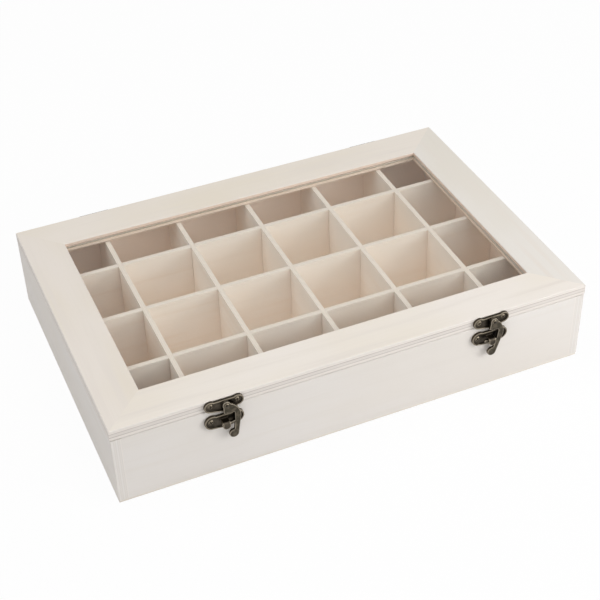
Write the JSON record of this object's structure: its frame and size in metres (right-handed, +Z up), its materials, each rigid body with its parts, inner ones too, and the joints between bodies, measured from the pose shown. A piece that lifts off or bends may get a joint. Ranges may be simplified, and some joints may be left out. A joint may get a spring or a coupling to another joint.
{
  "type": "compartment storage box",
  "caption": "Shallow wooden storage box with crossing dividers and a hinged, glazed frame lid held shut by swing hooks.",
  "frame": {"origin": "middle of the box's underside, on the surface that it stands on", "axes": "+X to the right as seen from the latch side, +Y to the hinge side at the back, +Z up"},
  "size_m": [0.4, 0.2795, 0.074],
  "materials": {
    "lid_plywood": "bare, sanded plywood",
    "wall_wood": "bare, sanded light wood",
    "divider_wood": "bare, sanded light wood",
    "bottom_plywood": "bare thin plywood",
    "clear_glass": "clear float glass",
    "antique_bronze": "antique bronze plating, worn on the edges",
    "bronze_fastener": "antique bronze plating"
  },
  "bodies": {
    "base": {"base_bottom_panel": "bottom_plywood", "base_front_wall": "wall_wood", "base_back_wall": "wall_wood", "base_left_wall": "wall_wood", "base_right_wall": "wall_wood", "divider_long_1": "divider_wood", "divider_long_2": "divider_wood", "divider_long_3": "divider_wood", "divider_cross_1": "divider_wood", "divider_cross_2": "divider_wood", "divider_cross_3": "divider_wood", "divider_cross_4": "divider_wood", "divider_cross_5": "divider_wood", "catch_plate_left": "antique_bronze", "catch_plate_right": "antique_bronze", "catch_screws": "bronze_fastener", "hinge_base_leaf_left": "antique_bronze", "hinge_base_leaf_right": "antique_bronze", "hinge_pin_left": "bronze_fastener", "hinge_pin_right": "bronze_fastener", "hinge_base_screws": "bronze_fastener"},
    "lid": {"lid_front_rail": "lid_plywood", "lid_back_rail": "lid_plywood", "lid_left_rail": "lid_plywood", "lid_right_rail": "lid_plywood", "lid_glass": "clear_glass", "hook_plate_left": "antique_bronze", "hook_plate_right": "antique_bronze", "hook_plate_screws": "bronze_fastener", "hook_rivet_left": "bronze_fastener", "hook_rivet_right": "bronze_fastener", "hinge_lid_leaf_left": "antique_bronze", "hinge_lid_leaf_right": "antique_bronze", "hinge_lid_screws": "bronze_fastener"},
    "hook_left": {"swing_hook_left": "antique_bronze"},
    "hook_right": {"swing_hook_right": "antique_bronze"}
  },
  "joints": [
    {"name": "lid_hinge", "type": "hinge", "parent": "base", "child": "lid", "pos_m": [0, 0.136, 0.06435], "axis": [-1, 0, 0], "range_deg": [0, 180]},
    {"name": "hook_left_pivot", "type": "hinge", "parent": "lid", "child": "hook_left", "pos_m": [-0.1116, -0.1383, 0.0699], "axis": [0, -1, 0], "range_deg": [-14.5, 180]},
    {"name": "hook_right_pivot", "type": "hinge", "parent": "lid", "child": "hook_right", "pos_m": [0.1134, -0.1383, 0.0699], "axis": [0, -1, 0], "range_deg": [-5.5, 188.5]}
  ]
}
